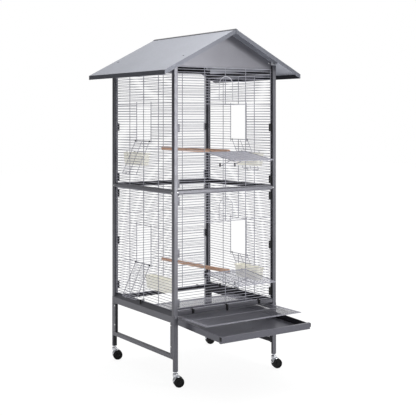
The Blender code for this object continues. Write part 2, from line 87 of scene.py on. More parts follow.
def world(x, y, z):
    """A point given from the middle of the cage."""
    return Vector((x, y + CY, z))


def srgb(red, green, blue):
    def linear(value):
        value /= 255
        return value / 12.92 if value <= 0.04045 else ((value + 0.055) / 1.055) ** 2.4
    return (linear(red), linear(green), linear(blue), 1.0)


def grey(value):
    return (value, value, value, 1.0)


OFF, ON = grey(0.0), grey(1.0)


# ---------------------------------------------------------------------------------------- finishes
class Finish:
    """A material whose colour, roughness and relief come from patterns in object space."""

    def __init__(self, name, metallic=0.0, roughness=0.5, sockets=None):
        self.material = bpy.data.materials.new(name)
        self.material.use_nodes = True
        self.tree = self.material.node_tree
        self.shader = self.tree.nodes["Principled BSDF"]
        self.shader.inputs["Metallic"].default_value = metallic
        self.shader.inputs["Roughness"].default_value = roughness
        for socket, value in (sockets or {}).items():
            self.shader.inputs[socket].default_value = value

    def node(self, kind, settings=None, inputs=None):
        made = self.tree.nodes.new("ShaderNode" + kind)
        for key, value in (settings or {}).items():
            setattr(made, key, value)
        for key, value in (inputs or {}).items():
            if isinstance(value, bpy.types.NodeSocket):
                self.tree.links.new(value, made.inputs[key])
            else:
                made.inputs[key].default_value = value
        return made

    def where(self, stretch):
        coords = self.node("TexCoord").outputs["Object"]
        return self.node("Mapping", inputs={"Vector": coords, "Scale": stretch}).outputs["Vector"]

    def noise(self, scale, detail=3.0, stretch=(1.0, 1.0, 1.0), rough=0.5):
        return self.node("TexNoise", inputs={"Vector": self.where(stretch), "Scale": scale,
                                             "Detail": detail, "Roughness": rough}).outputs[0]

    def cells(self, scale, feature="SMOOTH_F1", stretch=(1.0, 1.0, 1.0)):
        return self.node("TexVoronoi", {"feature": feature},
                         {"Vector": self.where(stretch), "Scale": scale}).outputs["Distance"]

    def ramp(self, factor, *stops):
        ramp = self.node("ValToRGB", inputs={"Fac": factor})
        elements = ramp.color_ramp.elements
        while len(elements) < len(stops):
            elements.new(0.5)
        for element, (position, colour) in zip(elements, stops):
            element.position = position
            element.color = colour
        return ramp.outputs["Color"]

    def mix(self, factor, first, second, mode="MIX"):
        mixer = self.node("Mix", {"data_type": "RGBA", "blend_type": mode})
        for socket, value in ((mixer.inputs[0], factor), (mixer.inputs[6], first), (mixer.inputs[7], second)):
            if isinstance(value, bpy.types.NodeSocket):
                self.tree.links.new(value, socket)
            else:
                socket.default_value = value
        return mixer.outputs[2]

    def shade(self, share, body, colour, strength=1.0):
        """The body, multiplied by a colour where the share is 1."""
        return self.mix(share, body, self.mix(strength, body, colour, "MULTIPLY"))

    def component(self, output, axis, size_only=False):
        """One component of the place ("Object") or the direction of a face ("Normal")."""
        value = self.node("SeparateXYZ", inputs={0: self.node("TexCoord").outputs[output]}).outputs[axis]
        return self.node("Math", {"operation": "ABSOLUTE"}, {0: value}).outputs[0] if size_only else value

    def vector(self, operation, *values):
        return self.node("VectorMath", {"operation": operation}, dict(enumerate(values)))

    def level(self, value, low, high):
        return self.node("MapRange", inputs={"Value": value, "To Min": low, "To Max": high}).outputs["Result"]

    def set(self, socket, value):
        self.tree.links.new(value, self.shader.inputs[socket])

    def relief(self, *layers):
        normal = None
        for height, depth in layers:
            bump = self.node("Bump", inputs={"Height": height, "Distance": depth, "Strength": 0.6})
            if normal:
                self.tree.links.new(normal, bump.inputs["Normal"])
            normal = bump.outputs["Normal"]
        self.set("Normal", normal)


def scaled(colour, amount):
    return (*(min(1.0, channel * amount) for channel in colour[:3]), 1.0)


def paint(name, colour, metallic, roughness, cell=330.0, depth=0.00010, spread=0.10, upright_painted_shade=None, inner=None,
          side_painted_shade=None, right=None):
    """Hammered powder coat: slow shade changes, metal flake, small cells and faint scuffs. The last four
    arguments are colours of painted shade, each multiplied in where given: on upright faces, on faces turned
    to the middle of the cage, on faces turned to the left or right, and on the right half of the cage."""
    finish = Finish(name, metallic, roughness, {"Coat Weight": 0.06, "Coat Roughness": 0.25})
    slow = finish.ramp(finish.noise(7.0, 4.0), (0.30, scaled(colour, 1 - spread)),
                       (0.70, scaled(colour, 1 + spread)))
    flake = finish.ramp(finish.cells(1500.0, "F1"), (0.10, scaled(colour, 1.45)),
                        (0.45, scaled(colour, 0.92)))
    body = finish.mix(0.35, slow, flake)
    rough = finish.level(finish.noise(90.0, 3.0), roughness - 0.07, roughness + 0.09)
    # Painted shade: upright faces darkened
    if upright_painted_shade:
        upright = finish.ramp(finish.component("Normal", "Z", size_only=True), (0.30, ON), (0.60, OFF))
        body = finish.shade(upright, body, upright_painted_shade, 0.7)
    # Painted shade: faces turned to the middle of the cage darkened, and made rougher
    if inner:
        coords = finish.node("TexCoord")
        across = finish.vector("MULTIPLY_ADD", coords.outputs["Object"], (-1, -1, 0), (0, CY, 0)).outputs[0]
        across = finish.vector("NORMALIZE", across).outputs[0]
        turned = finish.vector("DOT_PRODUCT", across, coords.outputs["Normal"]).outputs["Value"]
        hidden = finish.ramp(turned, (0.30, OFF), (0.60, ON))
        body = finish.shade(hidden, body, inner)
        rough = finish.mix(hidden, rough, grey(0.92))
    # Painted shade: faces turned to the left or right darkened
    if side_painted_shade:
        sideways = finish.ramp(finish.component("Normal", "X", size_only=True), (0.50, OFF), (0.80, ON))
        body = finish.shade(sideways, body, side_painted_shade)
    # Painted shade: the right half of the cage darkened
    if right:
        half = finish.ramp(finish.component("Object", "X"), (0.00, OFF), (0.20, ON))
        body = finish.shade(half, body, right)
    scuffs = finish.ramp(finish.noise(46.0, 6.0, rough=0.7), (0.66, OFF), (0.74, ON))
    finish.set("Base Color", finish.mix(finish.level(scuffs, 0.0, 0.22), body, scaled(colour, 1.9)))
    finish.set("Roughness", rough)
    finish.relief((finish.cells(cell), depth), (finish.noise(1200.0, 2.0), depth * 0.25))
    return finish.material


# Painted shade on the coats below: faces turned to the middle of the cage are darkened; on the posts also the
# left and right faces and the right half of the cage, on the roof its upright faces, and on the gables the
# inside faces, nearly to black
GREY = paint("hammered_grey", srgb(112, 112, 118), 0.62, 0.36, inner=(0.26, 0.26, 0.27, 1.0))
POST = paint("hammered_grey_post", srgb(112, 112, 118), 0.62, 0.36, inner=(0.90, 0.90, 0.91, 1.0),
             side_painted_shade=(0.64, 0.64, 0.65, 1.0), right=(0.66, 0.66, 0.67, 1.0))
GABLE = paint("hammered_grey_gable", srgb(108, 108, 114), 0.62, 0.36, inner=(0.03, 0.03, 0.03, 1.0))
STAND = paint("hammered_grey_stand", srgb(90, 90, 96), 0.60, 0.38, inner=(0.40, 0.40, 0.41, 1.0))
ROOF = paint("roof_grey", srgb(150, 153, 163), 0.60, 0.38, cell=260.0, depth=0.00005, spread=0.05,
             upright_painted_shade=(0.16, 0.16, 0.17, 1.0), inner=(0.35, 0.35, 0.36, 1.0))
# Painted shade: the tray's mid grey coat is darkened on its upright faces and on faces turned to the middle
# of the cage
TRAY_WITH_PAINTED_SHADE = paint("tray_enamel_painted_shade", srgb(112, 112, 121), 0.55, 0.30, cell=420.0, depth=0.00003,
             upright_painted_shade=(0.36, 0.36, 0.37, 1.0), inner=(0.20, 0.20, 0.21, 1.0))
RIM = paint("dark_cap", srgb(52, 52, 58), 0.40, 0.42)
WIRES = paint("wire_grey", srgb(170, 170, 180), 0.44, 0.45, cell=600.0, depth=0.00002)
STRIPS = paint("grille_grey", srgb(152, 152, 162), 0.50, 0.38)
ARCH = paint("arch_grey", srgb(206, 206, 212), 0.20, 0.45, cell=600.0, depth=0.00002)


def chrome():
    finish = Finish("chrome", 1.0, 0.16)
    finish.set("Base Color", finish.ramp(finish.noise(60.0, 3.0), (0.30, srgb(186, 188, 192)),
                                         (0.75, srgb(214, 215, 219))))
    finish.set("Roughness", finish.level(finish.noise(140.0, 5.0), 0.10, 0.28))
    finish.relief((finish.noise(900.0, 2.0), 0.00002),)
    return finish.material


def zinc():
    finish = Finish("zinc_plate", 0.9, 0.32)
    finish.set("Base Color", finish.ramp(finish.cells(260.0, "F1"), (0.1, srgb(196, 198, 200)),
                                         (0.7, srgb(232, 232, 230))))
    finish.set("Roughness", finish.level(finish.noise(300.0, 4.0), 0.26, 0.44))
    finish.relief((finish.noise(1500.0, 2.0), 0.00002),)
    return finish.material


def plastic(name, colour, roughness):
    finish = Finish(name, 0.0, roughness, {"Specular IOR Level": 0.22})
    finish.set("Base Color", finish.ramp(finish.noise(40.0, 4.0), (0.25, scaled(colour, 0.8)),
                                         (0.8, scaled(colour, 1.35))))
    finish.set("Roughness", finish.level(finish.noise(220.0, 4.0), roughness - 0.08, roughness + 0.12))
    finish.relief((finish.noise(1600.0, 3.0), 0.00004),)
    return finish.material


def cup_plastic():
    """Milky moulded plastic, a little see-through, with flow marks and a faint glow that stands in for the
    light that passes through it."""
    finish = Finish("milky_plastic", 0.0, 0.34, {"Transmission Weight": 0.15, "IOR": 1.46,
                                                 "Emission Color": srgb(236, 236, 230),
                                                 "Emission Strength": 0.20})
    finish.set("Base Color", finish.ramp(finish.noise(16.0, 3.0, (1.0, 1.0, 0.3)), (0.2, srgb(238, 236, 224)),
                                         (0.8, srgb(248, 246, 238))))
    finish.set("Roughness", finish.level(finish.noise(120.0, 3.0), 0.28, 0.42))
    finish.relief((finish.noise(500.0, 2.0), 0.00004),)
    return finish.material


def perch_wood():
    """Reddish dowel with grain running along Y, darker pores and a few knots."""
    finish = Finish("perch_wood", 0.0, 0.58)
    along = (1.0, 0.045, 1.0)
    grain = finish.noise(260.0, 6.0, along, 0.62)
    body = finish.ramp(grain, (0.28, srgb(220, 158, 126)), (0.50, srgb(250, 204, 174)),
                       (0.74, srgb(255, 226, 200)))
    pores = finish.ramp(finish.noise(900.0, 2.0, (1.0, 0.03, 1.0)), (0.36, OFF), (0.44, ON))
    body = finish.mix(finish.level(pores, 0.55, 0.0), body, srgb(140, 84, 60))
    knots = finish.ramp(finish.cells(24.0, "F1", (1.0, 0.5, 1.0)), (0.04, ON), (0.16, OFF))
    finish.set("Base Color", finish.mix(finish.level(knots, 0.0, 0.6), body, srgb(136, 80, 56)))
    finish.set("Roughness", finish.level(grain, 0.50, 0.72))
    finish.relief((grain, 0.00025), (finish.noise(40.0, 2.0), 0.0005))
    return finish.material


CHROME = chrome()
ZINC = zinc()
BLACK = plastic("black_plastic", srgb(15, 15, 17), 0.42)
RUBBER = plastic("black_tread", srgb(5, 5, 6), 0.40)
CUP = cup_plastic()
WOOD = perch_wood()


# ---------------------------------------------------------------------------------------- building
def add(name, mesh, body, finish, stands_for=(), angle=35.0):
    piece = bpy.data.objects.new(name, mesh)
    scene.collection.objects.link(piece)
    mesh.materials.clear()
    mesh.materials.append(finish)
    mesh.shade_smooth()
    mesh.set_sharp_from_angle(angle=math.radians(angle))
    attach(piece, body)
    if stands_for:
        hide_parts(*stands_for)
    return piece


def facing(spot, direction):
    return Matrix.Translation(spot) @ Vector(direction).to_track_quat("Z", "Y").to_matrix().to_4x4()


class Shape:
    """A mesh gathered from bevelled boxes, turned profiles and lofts."""

    def __init__(self):
        self.bm = bmesh.new()

    def take(self, part, matrix):
        part.transform(matrix)
        bmesh.ops.recalc_face_normals(part, faces=part.faces[:])
        mesh = bpy.data.meshes.new("part")
        part.to_mesh(mesh)
        part.free()
        self.bm.from_mesh(mesh)
        bpy.data.meshes.remove(mesh)

    def round_edges(self, part, radius):
        bmesh.ops.bevel(part, geom=part.edges[:], offset=radius, segments=2, affect="EDGES", profile=0.5)

    def box(self, low, high, bevel=0.0006, matrix=Matrix()):
        low, high = Vector(low), Vector(high)
        part = bmesh.new()
        bmesh.ops.create_cube(part, size=1.0, matrix=Matrix.Translation((low + high) / 2)
                              @ Matrix.Diagonal((*(high - low), 1.0)))
        self.round_edges(part, bevel)
        self.take(part, matrix)

    def turn(self, profile, matrix, steps=20):
        """A profile of (radius, height) turned round the local Z axis."""
        part = bmesh.new()
        verts = [part.verts.new((radius, 0.0, height)) for radius, height in profile]
        for first, second in zip(verts, verts[1:]):
            part.edges.new((first, second))
        bmesh.ops.spin(part, geom=part.verts[:] + part.edges[:], cent=(0, 0, 0), axis=(0, 0, 1),
                       angle=2 * math.pi, steps=steps)
        bmesh.ops.remove_doubles(part, verts=part.verts[:], dist=1e-6)
        self.take(part, matrix)

    def outline(self, points, thickness, matrix):
        """A flat outline in XY, thickened along Z about its plane."""
        part = bmesh.new()
        face = part.faces.new([part.verts.new((x, y, -thickness / 2)) for x, y in points])
        grown = bmesh.ops.extrude_face_region(part, geom=[face])["geom"]
        raised = [item for item in grown if isinstance(item, bmesh.types.BMVert)]
        bmesh.ops.translate(part, verts=raised, vec=(0, 0, thickness))
        self.round_edges(part, 0.0004)
        self.take(part, matrix)

    def loft(self, rings, matrix):
        """Rings of points joined in turn, the first and last ones filled."""
        part = bmesh.new()
        loops = [[part.verts.new(spot) for spot in ring] for ring in rings]
        for first, second in zip(loops, loops[1:]):
            for i in range(len(first)):
                j = (i + 1) % len(first)
                part.faces.new((first[i], first[j], second[j], second[i]))
        part.faces.new(loops[0][::-1])
        part.faces.new(loops[-1])
        self.take(part, matrix)

    def mesh(self, name):
        mesh = bpy.data.meshes.new(name)
        self.bm.to_mesh(mesh)
        self.bm.free()
        return mesh


def bent(points, radius, steps=5):
    """A line of points with rounded corners."""
    points = [Vector(point) for point in points]
    line = [points[0]]
    for before, corner, after in zip(points, points[1:], points[2:]):
        back, on = before - corner, after - corner
        reach = min(radius, back.length * 0.48, on.length * 0.48)
        start, end = corner + back.normalized() * reach, corner + on.normalized() * reach
        for i in range(steps + 1):
            t = i / steps
            line.append((1 - t) ** 2 * start + 2 * t * (1 - t) * corner + t * t * end)
    line.append(points[-1])
    return line


def ring(centre, radius, normal, steps=14):
    matrix = facing(centre, normal)
    return [matrix @ Vector((radius * math.cos(2 * math.pi * i / steps),
                             radius * math.sin(2 * math.pi * i / steps), 0.0)) for i in range(steps)]


def wire_mesh(name, runs, matrix=Matrix(), smooth=2):
    """Round wires from (points, radius) runs; a run of (points, radius, True) is a closed loop."""
    curve = bpy.data.curves.new(name, "CURVE")
    curve.dimensions = "3D"
    curve.bevel_depth = 0.001
    curve.bevel_resolution = smooth
    curve.use_fill_caps = True
    for points, radius, *closed in runs:
        spline = curve.splines.new("POLY")
        spline.points.add(len(points) - 1)
        spline.use_cyclic_u = bool(closed)
        for point, spot in zip(spline.points, points):
            point.co = (*(matrix @ Vector(spot)), 1.0)
            point.radius = radius / 0.001
    drawn = bpy.data.objects.new(name, curve)
    scene.collection.objects.link(drawn)
    mesh = bpy.data.meshes.new_from_object(drawn.evaluated_get(bpy.context.evaluated_depsgraph_get()))
    bpy.data.objects.remove(drawn)
    return mesh


def span(low, high, pitch):
    """Evenly spaced places between two ends, close to the pitch."""
    count = max(1, round((high - low) / pitch))
    return [low + (high - low) * i / count for i in range(1, count)]


# ---------------------------------------------------------------------------------------- wire walls
PANEL_GAP = 0.0006  # between a panel and its posts
ROW_CLEAR = 0.0045  # a thin row this near a stout one is left out
OVERRUN = 0.008  # how far the uprights beside a feeder opening pass it
NORMALS = {"front": (0, -1), "back": (0, 1), "left": (-1, 0), "right": (1, 0)}


def on_wall(wall, along, height, out=0.0):
    nx, ny = NORMALS[wall]
    depth = AXIS + out
    return world(nx * depth + (along if ny else 0.0), ny * depth + (along if nx else 0.0), height)


def wall(side, storey, uprights, opening, half_open, cut=True):
    """One wire panel: thin rows with stout ones at its ends and round the opening, and stout uprights."""
    name = f"wall_{side}_{storey}"
    low, high = (corner.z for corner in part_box(name))
    edge = INNER - PANEL_GAP
    sill, head = opening
    runs = []

    def row(a, b, z, radius):
        runs.append(([on_wall(side, a, z), on_wall(side, b, z)], radius))

    def upright(u, a, b):
        out = -(THIN + STOUT) * WELD
        runs.append(([on_wall(side, u, a, out), on_wall(side, u, b, out)], STOUT))

    for z in span(low, high, ROW):
        if min(abs(z - sill), abs(z - head)) < ROW_CLEAR:
            continue
        if cut and sill < z < head:
            row(-edge, -half_open, z, THIN)
            row(half_open, edge, z, THIN)
        else:
            row(-edge, edge, z, THIN)
    for z in (low + STOUT, sill, head, high - STOUT):
        row(-edge, edge, z, STOUT)
    for u in uprights:
        if cut and abs(u) < half_open - 0.002:
            upright(u, low, sill)
            upright(u, head, high)
        else:
            upright(u, low, high)
    for u in (-edge + STOUT, edge - STOUT):
        upright(u, low, high)
    if cut and half_open not in uprights:
        for u in (-half_open, half_open):
            upright(u, sill - OVERRUN, head + OVERRUN)
    return add(name + "_wires", wire_mesh(name, runs), "cage", WIRES, (name,))


for storey in DOORS:
    fronts = (-FRONT_UPRIGHT, 0.0, FRONT_UPRIGHT)
    wall("front", storey, fronts, DOORS[storey], FRONT_UPRIGHT)
    wall("back", storey, fronts, DOORS[storey], FRONT_UPRIGHT, cut=False)
    for side in ("left", "right"):
        wall(side, storey, (-SIDE_UPRIGHT, 0.0, SIDE_UPRIGHT), FEEDERS[storey], FEEDER_HALF)

# Wire arches on the front wall over each door
ARCH_RADIUS = 0.036
ARCH_STEPS = 16
for storey, top, leg in (("upper", 1.314, 1.2105), ("lower", 0.782, 0.690)):
    points = [(ARCH_RADIUS, leg)]
    for i in range(ARCH_STEPS + 1):
        angle = math.pi * i / ARCH_STEPS
        points.append((ARCH_RADIUS * math.cos(angle), top - ARCH_RADIUS + ARCH_RADIUS * math.sin(angle)))
    points.append((-ARCH_RADIUS, leg))
    points = [on_wall("front", along, height, 2 * THIN) for along, height in points]
    add(f"arch_{storey}", wire_mesh("arch", [(points, STOUT)]), "cage", ARCH)

# ---------------------------------------------------------------------------------------- doors
DOOR_HALF = 0.1055
DOOR_BARS = (-0.0700, -0.0350, 0.0, 0.0350, 0.0700)
DOOR_LOOPS = (-0.082, 0.086)  # rings that hang the door on the wire above its opening
STAY_RADIUS = 0.0015
STAY_FOOT = 0.006  # from the end of a stay's pivot to its arm
EYE_OFFSET = 0.0062
EYE = [(0.0, -0.0055), (0.0026, -0.0055), (0.0034, -0.0045), (0.0034, 0.0085), (0.0026, 0.0095),
       (0.0, 0.0095)]
for storey, length in (("upper", 0.207), ("lower", 0.218)):
    hinge = JOINTS[f"door_hinge_{storey}"]
    drop = math.radians(hinge["range_deg"][1] - 90)
    seat = Matrix.Translation(hinge["pos_m"]) @ Matrix.Rotation(drop, 4, "X")
    far = -length + STOUT
    edge = DOOR_HALF - STOUT
    corners = [(0, 0, 0), (edge, 0, 0), (edge, far, 0), (-edge, far, 0), (-edge, 0, 0), (0, 0, 0)]
    runs = [(bent(corners, 0.006), STOUT)]
    for y in span(far, 0.0, ROW):
        runs.append(([(-edge, y, 0), (edge, y, 0)], THIN * 0.85))
    for x in DOOR_BARS:
        runs.append(([(x, far, -2 * THIN), (x, 0.0, -2 * THIN)], THIN))
    for x in DOOR_LOOPS:
        runs.append((ring((x, 0.0022, 0.0008), 0.0042, (1, 0, 0)), THIN, True))
    name = f"door_{storey}"
    add(name + "_wires", wire_mesh(name, runs, seat), name, WIRES, (name,))

    # Stay: a bent wire that turns in two black eyes on the wall and holds the door up
    name = f"door_stay_{storey}"
    pivot = Vector(JOINTS[f"stay_pivot_{storey}"]["pos_m"])
    low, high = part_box(name)
    bar_y, bar_z = low.y + STAY_RADIUS, high.z - STAY_RADIUS
    left, right = low.x + STAY_FOOT, high.x - STAY_FOOT
    points = bent([(low.x, pivot.y, pivot.z), (left, pivot.y, pivot.z), (left, bar_y, bar_z),
                   (right, bar_y, bar_z), (right, pivot.y, pivot.z), (high.x, pivot.y, pivot.z)], 0.005)
    add(name + "_wire", wire_mesh(name, [(points, STAY_RADIUS)], smooth=3), name, WIRES, (name,))
    eyes = Shape()
    for x in (left, right):
        spot = (x + math.copysign(EYE_OFFSET, x), pivot.y + 0.0012, pivot.z)
        eyes.turn(EYE, Matrix.Translation(spot), 14)
    add(f"stay_eyes_{storey}", eyes.mesh("stay_eyes"), "cage", BLACK)

# ---------------------------------------------------------------------------------------- feeder flaps
FLAP = 0.160
FLAP_STOUT_ROWS = (0.050, 0.105)
FLAP_STOP = 0.0045  # the middle wire ends this far short of the hinge, clear of the wall when shut
BEAD = [(0.0, -0.0042), (0.0024, -0.0036), (0.0038, -0.0012), (0.0038, 0.0012), (0.0024, 0.0036),
        (0.0, 0.0042)]
for storey in FEEDERS:
    for side, word in ((-1, "left"), (1, "right")):
        name = f"flap_{word}_{storey}"
        hinge = JOINTS[f"flap_hinge_{word}_{storey}"]
        lean = math.radians(180 - hinge["range_deg"][1])
        seat = Matrix.Translation(hinge["pos_m"]) @ Matrix.Rotation(-side * lean, 4, "Y")
        edge, end = FEEDER_HALF - STOUT, -FLAP + STOUT
        corners = [(0, 0, 0), (0, edge, 0), (0, edge, end), (0, -edge, end), (0, -edge, 0), (0, 0, 0)]
        runs = [(bent(corners, 0.005), THIN * 1.1)]
        for z in span(end, 0.0, ROW):
            stout = min(abs(z + down) for down in FLAP_STOUT_ROWS) < ROW / 2
            runs.append(([(0, -edge, z), (0, edge, z)], THIN if stout else THIN * 0.65))
        runs.append(([(side * 2 * THIN, 0, end), (side * 2 * THIN, 0, -FLAP_STOP)], THIN))
        runs.append((ring((side * 0.0012, 0.030, end + 0.0015), 0.0050, (1, 0, 0)), THIN, True))
        add(name + "_wires", wire_mesh(name, runs, seat), name, WIRES, (name,))
        beads = Shape()
        for y in (-edge, edge):
            beads.turn(BEAD, seat @ facing((side * 0.0004, y, 0.0), (0, 1, 0)), 14)
        add(name + "_beads", beads.mesh("beads"), name, BLACK)


# ---------------------------------------------------------------------------------------- bowls
def rounded(half_x, half_y, corner, z, steps=6):
    points = []
    for quarter, (sx, sy) in enumerate(((1, 1), (-1, 1), (-1, -1), (1, -1))):
        for i in range(steps + 1):
            angle = math.radians(90 * quarter + 90 * i / steps)
            points.append((sx * (half_x - corner) + corner * math.cos(angle),
                           sy * (half_y - corner) + corner * math.sin(angle), z))
    return points


HOOK_HALF = 0.036  # each bowl hangs from two wire hooks, this far from its middle
for node in ("bowl_left_upper", "bowl_right_upper", "bowl_left_lower", "bowl_right_lower"):
    low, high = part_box(node)
    middle, size = (low + high) / 2, (high - low) / 2
    deep = high.z - low.z
    rim, sheet, taper = 0.0040, 0.0019, 0.0045
    wall_x, wall_y = size.x - rim, size.y - rim
    rings = []
    levels = (  # (outward from the wall, taper share, height below the rim, corner)
        (0.0, 1.0, -deep, 0.010), (0.0, 0.98, -deep + 0.0012, 0.0135), (0.0, 0.90, -deep + 0.005, 0.0145),
        (0.0, 0.45, -deep * 0.5, 0.015), (0.0, 0.0, -0.0042, 0.0155), (rim, 0.0, -0.0040, 0.0180),
        (rim, 0.0, -0.0008, 0.0182), (rim - 0.0008, 0.0, 0.0, 0.0178), (0.0006, 0.0, 0.0, 0.0158),
        (-sheet, 0.02, -0.0010, 0.0140), (-sheet, 0.45, -deep * 0.5, 0.0135),
        (-sheet, 0.92, -deep + 0.0060, 0.0125), (-sheet - 0.003, 1.0, -deep + 0.0024, 0.0105))
    for out, share, z, corner in levels:
        floor_in = 0.004 if z == -deep else 0.0
        rings.append(rounded(wall_x + out - taper * share - floor_in, wall_y + out - taper * share - floor_in,
                             corner, high.z + z))
    shape = Shape()
    shape.loft(rings, Matrix.Translation((middle.x, middle.y, 0.0)))
    add(node + "_cup", shape.mesh(node), "cage", CUP, (node,), angle=50.0)
    side = math.copysign(1.0, middle.x)
    face = middle.x + side * (size.x - 0.0010)
    hooks = []
    over = side * (AXIS + 2 * THIN + 0.0006)
    for y in (middle.y - HOOK_HALF, middle.y + HOOK_HALF):
        hooks.append((bent([(face, y, high.z - 0.012), (face, y, high.z + 0.0075), (over, y, high.z + 0.0075),
                            (over, y, high.z - 0.0040)], 0.0012, 3), 0.0011))
    add(node + "_hooks", wire_mesh(node, hooks), "cage", ZINC)

# ---------------------------------------------------------------------------------------- perches
# The dowels end just inside the walls, with a screw in each end
PERCH_RADIUS = 0.0085
PERCH_YAW = 0.0494
PERCH_RINGS = 44
PERCH_SIDES = 20
CHAMFER = 0.0008
for word, tilt in (("upper", 0.0), ("lower", -0.0182)):
    name = f"perch_{word}"
    low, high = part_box(name)
    middle, radius = (low + high) / 2, PERCH_RADIUS
    seat = Matrix.Translation(middle) @ Matrix.Rotation(PERCH_YAW, 4, "Z") @ Matrix.Rotation(tilt, 4, "X")
    reach = AXIS - STOUT - 0.0036
    rings = []
    for i in range(PERCH_RINGS + 1):
        t = i / PERCH_RINGS
        sway = math.sin(7.0 * t + (0.6 if word == "upper" else 2.1)) * 0.0004
        swell = 1 + 0.020 * math.sin(13.0 * t + 1.3) + 0.015 * math.sin(29.0 * t + 0.4)
        turn = []
        for k in range(PERCH_SIDES):
            angle = 2 * math.pi * k / PERCH_SIDES
            ripple = 1 + 0.010 * math.sin(3 * angle + 9 * t) + 0.006 * math.sin(5 * angle - 14 * t)
            wide = radius * 0.99 * swell * ripple
            turn.append((wide * math.sin(angle), reach * (2 * t - 1), sway + wide * math.cos(angle)))
        rings.append(turn)
    for end, place in ((rings[0], -1), (rings[-1], 1)):
        shrink = 1 - CHAMFER / radius
        cut = [(x * shrink, place * (reach + CHAMFER), z * shrink) for x, _, z in end]
        rings.insert(0 if place < 0 else len(rings), cut)
    shape = Shape()
    shape.loft(rings, seat)
    add(name + "_dowel", shape.mesh(name), "cage", WOOD, (name,))
    ends = Shape()
    for place in (-1, 1):
        spot = seat @ facing((0.0, place * (reach + CHAMFER), 0.0), (0, place, 0))
        ends.turn([(0.0, 0.0006), (0.0012, 0.0006), (0.0016, 0.0014), (0.0030, 0.0012), (0.0040, 0.0007),
                   (0.0043, -0.0002), (0.0020, -0.0006), (0.0, -0.0006)], spot, 18)
    add(name + "_screws", ends.mesh("perch_screws"), "cage", RIM)

# ---------------------------------------------------------------------------------------- floor grille
low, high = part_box("grille")
strip = 0.015
lap = 0.0004  # how far the side strips run under the end ones
mid_z = (low.z + high.z) / 2
shape = Shape()
for a, b in (((low.x, low.y), (high.x, low.y + strip)), ((low.x, high.y - strip), (high.x, high.y)),
             ((low.x, low.y + strip - lap), (low.x + strip, high.y - strip + lap)),
             ((high.x - strip, low.y + strip - lap), (high.x, high.y - strip + lap))):
    shape.box((*a, low.z + 0.0006), (*b, high.z), 0.0005)
tab_x = -0.054
tab = [(-0.006, 0.0), (0.006, 0.0), (0.006, -0.006), (0.003, -0.008), (-0.003, -0.008), (-0.006, -0.006)]
shape.outline(tab, 0.0016, Matrix.Translation((tab_x, low.y + 0.001, high.z - 0.0012)))
add("grille_frame", shape.mesh("grille_frame"), "grille", STRIPS, ("grille",))
runs = []
for x in span(low.x + strip, high.x - strip, 0.0105):
    runs.append(([(x, low.y + strip * 0.6, mid_z), (x, high.y - strip * 0.6, mid_z)], THIN * 1.15))
for y in span(low.y + strip, high.y - strip, 0.120):
    runs.append(([(low.x + strip * 0.6, y, mid_z - 0.0004), (high.x - strip * 0.6, y, mid_z - 0.0004)], THIN))
add("grille_wires", wire_mesh("grille_wires", runs), "grille", STRIPS)

# Plugs in the ends of the tray's turned-over lip
LIP_RISE = 0.0258  # the lip's height over the tray's underside
LIP_LEAN = math.radians(2.2)
low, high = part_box("tray")
tilt = Matrix.Translation((0.0, low.y, low.z + LIP_RISE)) @ Matrix.Rotation(LIP_LEAN, 4, "X")
plugs = Shape()
for side in (-1, 1):
    x0, x1 = sorted((side * (high.x - 0.0022), side * (high.x + 0.0008)))
    plugs.box((x0, -0.0006, -0.0160), (x1, 0.0125, -0.0006), 0.0004, tilt)
add("tray_plugs", plugs.mesh("tray_plugs"), "tray", BLACK)

